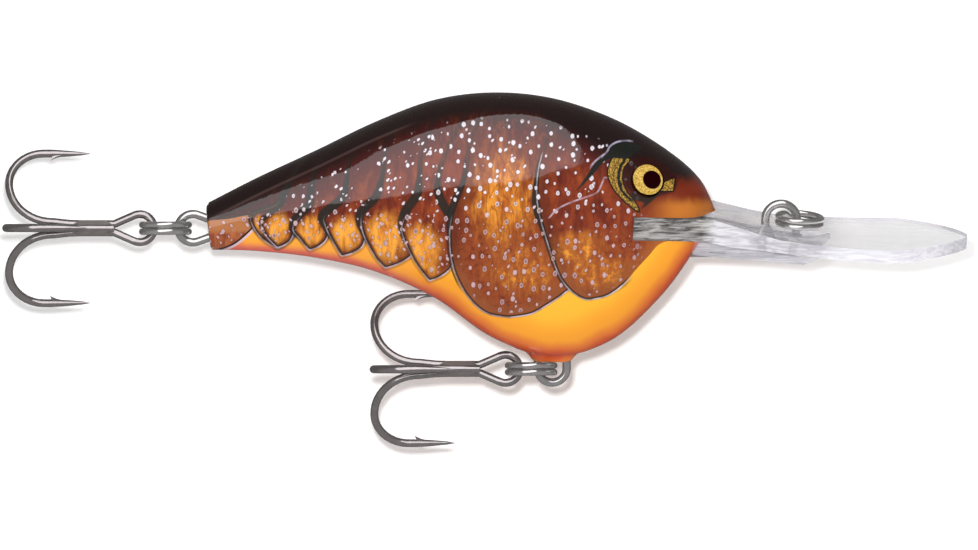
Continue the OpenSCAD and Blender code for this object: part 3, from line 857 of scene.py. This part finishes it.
    def dots(self, cell, least, most, share, stretch, lean):
        """Round dabs, one to a cell at most, with radii from least to most, longer along a line that leans by
        some degrees. Gives the dab, its dark middle and its halo."""
        turn = {"Vector": self.drawing, "Angle": math.radians(lean)}
        leaning = self.node("VectorRotate", turn, rotation_type="Z_AXIS").outputs[0]
        where = {"Vector": self.scaled(leaning, (1 / cell, 1 / (cell * stretch), 1)), "Scale": 1.0}
        where["Randomness"] = 0.9
        cells = self.node("TexVoronoi", where, voronoi_dimensions="2D", feature="F1").outputs
        red, green, blue = self.parts("SeparateColor", cells["Color"])
        distance = Value(self, cells["Distance"]) * cell
        distance += self.noise(self.drawing, 5.0, detail=1).around(0.12)
        inside = red.ramp(0, 1, least, most) - distance
        here = (green - share).ramp(0.01, -0.01)
        hollow = inside.ramp(0.5 * least, 0.8 * least) * blue.ramp(0.2, 0.4)
        return inside.ramp(-0.03, 0.05) * here, hollow * here, inside.ramp(-0.12, -0.02) * here

    def dabs(self, paint):
        """Dabs scattered over the shell, thinner towards the nose."""
        u, v = self.u, self.v
        below_back = (self.from_back + u.ramp(-58, -61, 0, 1.6)).ramp(2.6, 3.4)
        area = self.on_shell().ramp(0.25, 0.45) * below_back * u.ramp(-15.5, -18.5)
        cluster = self.noise(self.drawing, 0.55, detail=2).ramp(0.42, 0.62)
        tailward, lower = u.ramp(-37, -43), v.ramp(1.2, -1)
        bright = v.fade(-1, 3.5, "C6A9AE", "EAE5EE")
        for cell, least, most, share, stretch, lean in (
                (1.18, 0.12, 0.25, tailward.ramp(0, 1, 0.9, 0.3), 1.3, 4),
                (0.62, 0.05, 0.15, cluster * tailward.ramp(0, 1, 0.22, 0.85), 1.7, 38),
                (0.68, 0.08, 0.17, tailward * lower * 0.75, 1.6, -35)):
            dab, middle, halo = self.dots(cell, least, most, share, stretch, lean)
            paint = self.mix(halo * area * 0.3, paint, "3A1A16")
            paint = self.mix(dab * area * 0.85, paint, bright)
            if cell > 1:
                paint = self.mix(middle * area * v.ramp(6, 1, 0.1, 0.7), paint, "6E4338")
        return paint

    def face(self, paint):
        """A dark socket, a gilt corner and crescent, the brow, a smear below it and a pale cheek line."""
        u, v, drawing = self.u, self.v, self.drawing
        paint = self.mix(self.field("socket").ramp(-0.2, 0.35) * 0.92, paint, "2C0B07")
        gold = self.field("gold")
        gilt = self.noise(drawing, 5.5, detail=2).fade(0.35, 0.65, "6E5018", "C79E45")
        scratches = self.noise(self.scaled(drawing, (2.2, 0.7, 1)), 1.6, detail=3)
        gilt = self.mix(scratches.band(0.47, 0.52, 0.02) * 0.8, gilt, "241608")
        paint = gold.fade(-0.22, -0.1, paint, "1C0E08")
        paint = gold.fade(-0.04, 0.04, paint, gilt)
        near_eye = self.distance(drawing, EYE_MIDDLE) + self.mottle.around(0.5)
        paint = self.mix(near_eye.band(3.05, 3.4, 0.08) * u.ramp(-17, -17.8), paint, INK)
        paint = self.mix(near_eye.band(3.75, 3.85, 0.1) * gold.ramp(-0.1, 0.1) * 0.8, paint, INK)
        brow = self.field("brow")
        above = v - ((u + 24.4) * 1.1 + 3.0).least(8.1)
        pale = brow.band(-0.3, -0.08) * above.ramp(-0.1, 0.1) * u.band(-22.4, -17.6, 0.3) * self.worn
        paint = self.mix(pale, paint, "A9A3B8")
        paint = brow.fade(-0.08, 0.06, paint, INK)
        paint = self.mix(self.field("smear").ramp(-0.15, 0.1) * 0.9, paint, INK)
        cheek = self.field("cheek").band(-0.1, 0.1, 0.04) * v.ramp(-0.1, 0.2) * u.band(-27.4, -20.6, 0.2)
        return self.mix(cheek * self.worn * 0.95, paint, "B9A0AC")

    def coats(self):
        """All of it, under a clear coat with a faint ripple."""
        shell = self.shell()
        paint = self.field("tail_back").fade(-0.15, 0.15, self.belly(), shell)
        paint = self.plates(self.tail_patch(paint), shell)
        # A painted highlight: a faint lighter line along the back, a little below its top edge, stands in for
        # a reflection along the ridge.
        back_highlight = self.from_back.band(1.7, 1.95, 0.15) * self.u.ramp(-42, -46)
        paint = self.face(self.dabs(self.mix(back_highlight * 0.35, paint, "6A504C")))
        ripple = self.noise(self.drawing, 0.35, detail=2)
        ripple += self.noise(self.drawing, 2.2, detail=1) * 0.05
        ripple += self.noise(self.drawing, 4.5, detail=2) * 0.1
        self.set(Base_Color=paint, Roughness=0.45, Coat_Weight=1.0, Coat_Roughness=0.02, Coat_IOR=1.5)
        self.set(Specular_IOR_Level=0.0, Coat_Normal=self.bump(ripple, 0.025))
        return self.material


def glue_look():
    look = Look("slot_glue", Roughness=0.35)
    grain = look.noise(look.scaled(look.place(), (0.25, 1, 1)), 1.4, detail=4)
    look.set(Base_Color=look.mix(grain, "6F6A66", "B5B0AA"))
    return look.material


def build_body():
    paint, glue = Paint().coats(), glue_look()
    vertices, faces = half_body()
    for node, side in (("body_right", -1), ("body_left", 1)):
        points = vertices * (1, -side, 1)
        polygons = faces if side < 0 else [f[::-1] for f in faces]
        piece = add_mesh("painted_" + node, points, polygons, "bait", [node])
        give(paint, piece)
        stem, keel, socket = body_cutters(side)
        cut(piece, [stem, keel], glue)
        cut(piece, [socket], paint)
        piece.data.set_sharp_from_angle(angle=SHARP_ANGLE)
        paint_fields(piece.data)
        seam_normals(piece.data)
        piece.visible_glossy = False


# ---------- metal ----------

WIRE_RADIUS = 0.5
EYE_RING = 1.7
TAIL_EYE = (-69.2, -1.1)
TAIL_THROAT = (3.6, 0.5)
TAG = (7, -1.33)
WIRE_ROUTE = [(-28.6, -12, 0), (-28.6, -19.7, 1.7), (-25.2, -19.7, 1.7), (-25.2, -14.4, 2), (-12.5, -4.05, 3),
              (1.85, -4.05, 1.1), (1.85, 1.85, 1.85), (-1.85, 1.85, 1.85), (-1.85, -3, 1), (-14, -3, 20),
              (-65.6, -0.6, 0)]
HANG_ROLL = math.radians(-12)
HOOK_RING = (6.24, 0.77)                 # outer diameter and wire of the split rings
LINE_RING = (5.8, 0.69)
TAIL_RING_X, BELLY_RING_X = -0.48, 0.25  # middle of each ring's wire from its eye
BELLY_RING_DROP = 0.05
HOOK_FROM_RING = -3.02
HOOK_RADIUS = 0.475
HOOK_EYE = 1.65
THROW, HOOK_LENGTH = 10.2, 15.5
SHANK, SPLAY, THROAT_X = 0.55, 0.85, -2.75
BEND_OUT = 4.05
BRAZE = (-8.3, -2.6)
BARB_X, POINT_X = -10.2, -5.9


def metal_look(name, dark, light, roughness, metallic=0.85):
    """Plated metal between two tones, in faint patches with a little tarnish."""
    look = Look(name, Metallic=metallic, Specular_IOR_Level=0.3)
    where = look.place()
    patches = look.noise(where, 1.1, detail=3)
    tone = look.mix(patches, dark, light)
    tone = look.mix(look.noise(where, 2.6, detail=4).ramp(0.62, 0.78, 0, 0.3), tone, "6B4A34")
    look.set(Base_Color=tone, Roughness=patches.ramp(0.3, 0.7, roughness, roughness * 1.7))
    look.set(Normal=look.bump(look.noise(where, 7.0, detail=2), 0.01, 0.3))
    return look.material


def build_wire(material):
    x, z = TAIL_THROAT
    turn = math.degrees(math.atan2(z, x) + math.acos(EYE_RING / math.hypot(x, z)))
    loop = arc((0, 0), EYE_RING, turn, 360 - turn, 40)
    tail = np.concatenate([[(x, z)], loop, [(x, -z), (x + TAG[0], z + TAG[1])]]) + TAIL_EYE
    path = evenly(in_middle(np.concatenate([routed(WIRE_ROUTE)[:-1], tail])), 0.16)
    piece = add_mesh("hanger_wire", *sweep(path, WIRE_RADIUS, 24), "bait", ["through_wire"])
    give(material, piece)


def split_ring(outer, wire):
    """Two turns of round wire, joined by a short step, with both ends chamfered."""
    rise, step = wire / 2 + 0.01, 16
    angles = np.linspace(step + 2, 720 - step - 2, 240)
    climb = np.clip((angles - 360 + step) / (2 * step), 0, 1)
    radius = (outer - wire) / 2
    a = np.radians(angles)
    height = rise * (2 * (3 * climb**2 - 2 * climb**3) - 1)
    path = np.stack([radius * np.cos(a), radius * np.sin(a), height], 1)
    radii = np.full(len(path), wire / 2)
    radii[[0, -1]] *= 0.72
    return sweep(path, radii, 22)


def hanging(eye, ring_x, drop=0.0):
    """The frame of a ring that hangs in an eye."""
    x = ring_x - (HOOK_RING[0] - HOOK_RING[1]) / 2
    place = Matrix.Translation((eye[0], 0, eye[1] - drop)) @ Matrix.Rotation(HANG_ROLL, 4, "X")
    return place @ Matrix.Translation((x, 0, 0))


def build_rings(material):
    split = Matrix.Rotation(math.radians(60), 4, "Z")
    lift = Matrix.Translation(((LINE_RING[0] - LINE_RING[1]) / 2 - 0.37, 0, 0)) @ split @ split
    belly = hanging(BELLY_EYE, BELLY_RING_X, BELLY_RING_DROP) @ split
    for name, body, size, frame_at in (
            ("line_split_ring", "line_ring", LINE_RING, LIP_TILT @ lift),
            ("tail_split_ring", "tail_ring", HOOK_RING, hanging(TAIL_EYE, TAIL_RING_X) @ split),
            ("belly_split_ring", "belly_ring", HOOK_RING, belly)):
        piece = add_mesh("wound_" + name, *moved(split_ring(*size), frame_at), body, [name])
        give(material, piece)


def prong():
    """One prong in its own plane as (x, distance from the axis), and its radius."""
    bend_in = THROW - SPLAY - BEND_OUT
    centre = (-HOOK_LENGTH + bend_in, SPLAY + bend_in)
    line = np.concatenate([
        [(THROAT_X - 0.3, SHANK), (BRAZE[0] + 1.5, SHANK), (BRAZE[0], SHANK + 0.06)],
        arc(centre, bend_in, 270, 180, 30),
        arc((-HOOK_LENGTH + BEND_OUT, centre[1]), BEND_OUT, 177, 90, 30),
        [(BARB_X - 0.4, THROW), (BARB_X + 0.5, THROW), (-8.4, THROW - 0.02), (-7, THROW - 0.03),
         (POINT_X, THROW - 0.02)]])
    radii = np.full(len(line), HOOK_RADIUS)
    radii[-5:] = HOOK_RADIUS * np.array([1, 0.9, 0.72, 0.45, 0.04])
    return line, radii


def turned(line, degrees):
    a = math.radians(degrees)
    return np.stack([line[:, 0], line[:, 1] * math.cos(a), line[:, 1] * math.sin(a)], 1)


def barb(degrees):
    """The spur cut up from the inside of the point."""
    side = [(BARB_X + 1.0, THROW - 0.28, 0.24), (BARB_X + 0.25, THROW - 0.5, 0.17),
            (BARB_X - 0.55, THROW - 1.0, 0.02), (BARB_X - 0.3, THROW - 0.5, 0.12),
            (BARB_X - 0.1, THROW - 0.25, 0.24)]
    a = math.radians(degrees)
    out, across = np.array([0, math.cos(a), math.sin(a)]), np.array([0, -math.sin(a), math.cos(a)])
    along = np.array([1, 0, 0])
    return prism([x * along + r * out + way * half * across for way in (-1, 1) for x, r, half in side])


def braze_part():
    """The fill round the three shanks, three-lobed and drawn in at both ends."""
    sides, count = 48, 25
    angles = np.linspace(0, 2 * math.pi, sides, endpoint=False)
    lobes = 0.88 + 0.1 * np.cos(3 * (angles - math.pi / 3))
    rows = []
    for f in np.linspace(0, 1, count):
        reach = lobes * min(1, 0.45 + 2.6 * f, 0.45 + 3.6 * (1 - f))
        x = BRAZE[0] + f * (BRAZE[1] - BRAZE[0] - 0.4)
        rows.append(np.stack([np.full(sides, x), reach * np.cos(angles), reach * np.sin(angles)], 1))
    ends = [tuple(range(sides))[::-1], tuple(range((count - 1) * sides, count * sides))]
    return np.concatenate(rows), grid_faces(count, sides) + ends


def build_hooks(material, solder):
    line, radii = prong()
    turn = math.degrees(math.atan2(0.62, -THROAT_X) + math.acos(HOOK_EYE / math.hypot(0.62, THROAT_X)))
    eye = in_middle(arc((0, 0), HOOK_EYE, turn, 360 - turn, 40)) * (-1, 1, 1)
    bow = np.concatenate([turned(line, 60)[::-1], eye, turned(line, -60)])
    bow_radii = np.concatenate([radii[::-1], np.full(len(eye), HOOK_RADIUS), radii])
    double = joined(sweep(*evenly(bow, 0.18, bow_radii), 22), barb(60), barb(-60))
    single = joined(sweep(*evenly(turned(line, 180), 0.18, radii), 22), barb(180))
    for hook, eye_at, ring_x, drop in (
            ("tail_hook", TAIL_EYE, TAIL_RING_X, 0.0),
            ("belly_hook", BELLY_EYE, BELLY_RING_X, BELLY_RING_DROP)):
        place = hanging(eye_at, ring_x, drop) @ Matrix.Translation((HOOK_FROM_RING, 0, 0))
        for node, part, look, slot in (("_double", double, material, "black_nickel"),
                                       ("_single", single, material, "black_nickel"),
                                       ("_braze", braze_part(), solder, "braze")):
            piece = add_mesh("forged_" + hook + node, *moved(part, place), hook, [hook + node])
            give(look, piece)


# ---------- lip, eyes, insides ----------

def lip_look():
    """Clear plastic, with painted shade for its refraction: grey on its thin edges and in streaks near the
    stem; streaked and rough where the stem is glued in.
    """
    look = Look("clear_polycarbonate", IOR=1.22)
    where = look.place()
    forward, _, height = look.parts("SeparateXYZ", where)
    upright = look.parts("SeparateXYZ", look.node("NewGeometry").outputs["Normal"])[2]
    # Painted shade: faces that stand upright, the thin edges, are tinted grey and let less light through, for
    # the dark refraction seen there.
    edge = abs(upright).ramp(0.85, 0.35)
    flow = look.noise(look.scaled(where, (0.2, 1.4, 2.4)), 1.0, detail=5, roughness=0.65, distortion=1.0)
    glued = forward.ramp(-7.6, -9.5) * height.ramp(-2.2, -1.5)
    streaked = flow.fade(0.36, 0.66, "4E4A48", "D6D4D2")
    clear = look.mix(edge, "FDFDFE", flow.fade(0.35, 0.65, "CFCDD6", "F4F3F7"))
    # Painted shade: darker grey streaks towards the stem stand in for the dark refractions inside the plastic
    # there.
    stem_streak_shade = forward.ramp(9, 3) * flow.ramp(0.62, 0.4, 0.35, 1.0)
    clear = look.mix(stem_streak_shade * 0.5, clear, "A9A8AC")
    look.set(Base_Color=look.mix(glued, clear, streaked), Roughness=glued.ramp(0, 1, 0.03, 0.2))
    look.set(Transmission_Weight=0.94 - edge * 0.44)
    look.set(Normal=look.bump(flow, 0.06, glued.ramp(0, 1, 0.15, 1.0)))
    look.let_through(look.value("LightPath", "Is Shadow Ray") * 0.65)
    return look.material


def build_lip():
    node = frame["nodes"]["diving_lip"]
    copy = node.data.copy()
    piece = bpy.data.objects.new("moulded_lip", copy)
    piece.matrix_world = node.matrix_world
    bpy.context.scene.collection.objects.link(piece)
    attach(piece, "bait")
    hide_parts("diving_lip")
    edge = piece.modifiers.new("edge", "BEVEL")
    edge.width = 0.14 * MM
    edge.segments = 3
    edge.angle_limit = math.radians(40)
    edge.harden_normals = False
    give(lip_look(), piece)


def build_eyes():
    for side, word in ((-1, "right"), (1, "left")):
        place = eye_frame(side)
        centre = place @ Vector((-0.05, 0.06 * -side, 0.15))
        pupil = centre + (place.to_3x3() @ Vector((0.5, 0.03 * -side, 0)))
        look = Look("gilt_eye_" + word, Roughness=0.5, Specular_IOR_Level=0.0)
        where = look.place()
        from_centre = look.distance(where, tuple(centre))
        from_pupil = look.distance(where, tuple(pupil))
        foil = look.noise(where, 4.5, detail=4, roughness=0.7)
        gilt = foil.fade(0.35, 0.65, "A87B26", "E6C66C")
        tone = from_pupil.fade(1.28, 1.2, gilt, "1A0306")
        tone = from_centre.fade(1.87, 1.93, tone, "0A0504")
        look.set(Base_Color=tone, Metallic=from_pupil.ramp(1.24, 1.3, 0, 0.2))
        disc = frame["nodes"]["eye_disc_" + word]
        give(look.material, disc)
        clear = Look("eye_dome_" + word, Transmission_Weight=1.0, IOR=1.15, Roughness=0.02)
        # Painted shade: the clear dome is tinted dark at its rim, where its surface turns away from the view.
        rim = clear.value("LayerWeight", "Facing", {"Blend": 0.5}).ramp(0.55, 0.9)
        plastic = clear.mix(clear.noise(clear.place(), 1.0), "FAF8F2", "FFFFFF")
        clear.set(Base_Color=clear.mix(rim, plastic, "1C0F0A"))
        give(clear.material, frame["nodes"]["eye_lens_" + word])


def plain_look(name, dark, light, scale, **principled):
    look = Look(name, **principled)
    grain = look.noise(look.place(), scale, detail=5, roughness=0.6)
    look.set(Base_Color=grain.fade(0.3, 0.7, dark, light), Normal=look.bump(grain, 0.05, 0.4))
    return look.material


def build_insides():
    nodes = frame["nodes"]
    lead = plain_look("cast_lead", "4A4C50", "787B80", 1.2, Metallic=0.7, Roughness=0.55)
    give(lead, nodes["ballast_weight"])
    tube = plain_look("rattle_tube_plastic", "D8CDB0", "EFE6CC", 0.6, Roughness=0.2, Transmission_Weight=0.6)
    give(tube, nodes["rattle_tube"])
    plug = plain_look("plug_rubber", "141414", "26262A", 2.0, Roughness=0.7)
    give(plug, nodes["rattle_plug_front"], nodes["rattle_plug_rear"])
    balls = plain_look("ball_steel", "A9A9AE", "C9C9CE", 1.5, Metallic=1.0, Roughness=0.12)
    give(balls, nodes["rattle_balls"])


build_stage()
build_body()
nickel = metal_look("black_nickel", "8C8686", "AAA3A2", 0.08)
solder = metal_look("braze_metal", "75706D", "928A86", 0.3, 0.5)
ring_steel = metal_look("ring_steel", "B0ACAC", "CECBCA", 0.08)
build_wire(metal_look("hanger_steel", "A8A5A5", "C8C5C4", 0.09))
build_rings(ring_steel)
build_hooks(nickel, solder)
build_lip()
build_eyes()
build_insides()
